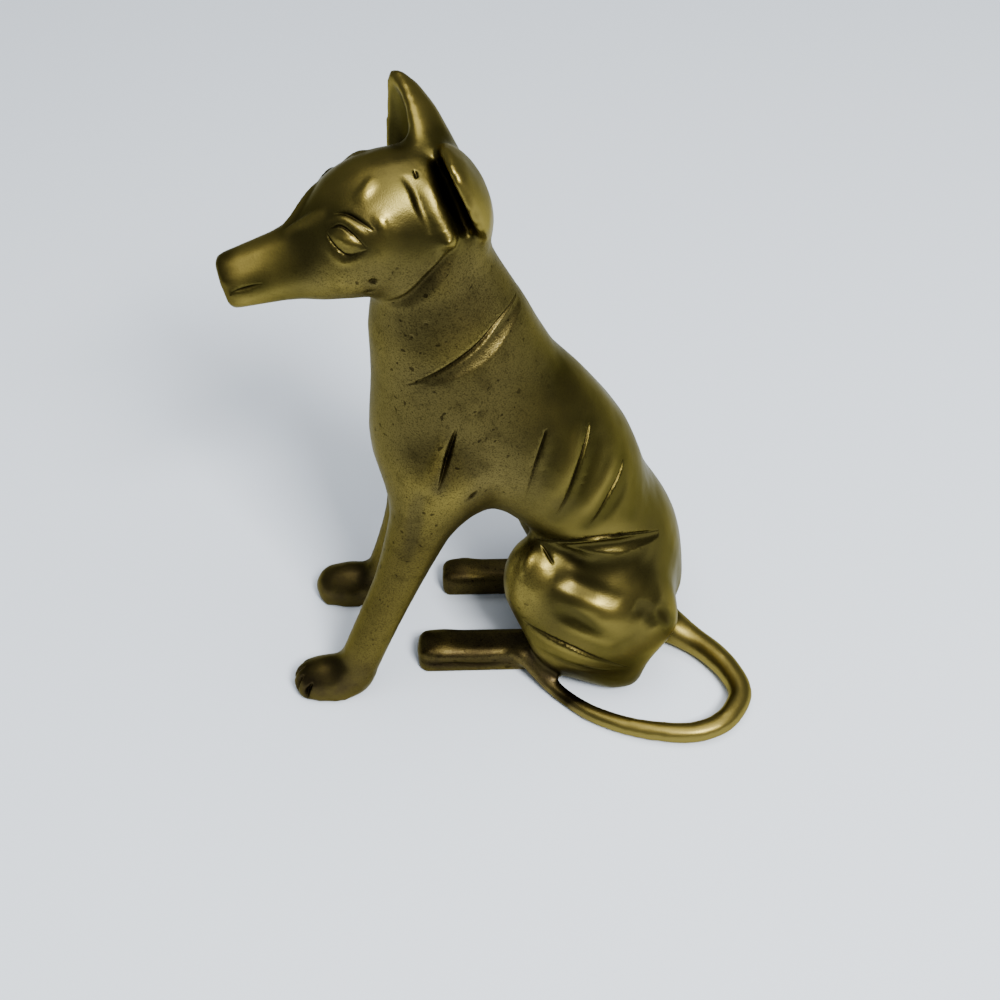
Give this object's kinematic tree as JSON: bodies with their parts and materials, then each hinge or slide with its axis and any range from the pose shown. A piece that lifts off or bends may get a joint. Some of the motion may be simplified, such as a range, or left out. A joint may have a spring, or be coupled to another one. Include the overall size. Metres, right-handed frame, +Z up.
{
  "type": "dog figurine",
  "caption": "Brass figurine of a slim dog sitting upright, ears pricked, collar line on the neck, tail curled round its left side.",
  "frame": {"origin": "middle of the figure's footprint box, on the table under it", "axes": "+Z up; the dog faces -X and its left side is -Y"},
  "size_m": [0.1018, 0.0614, 0.1292],
  "materials": {
    "brass": "worn cast brass with an olive-brown patina"
  },
  "bodies": {
    "root": {"greyhound": "brass"}
  },
  "joints": []
}
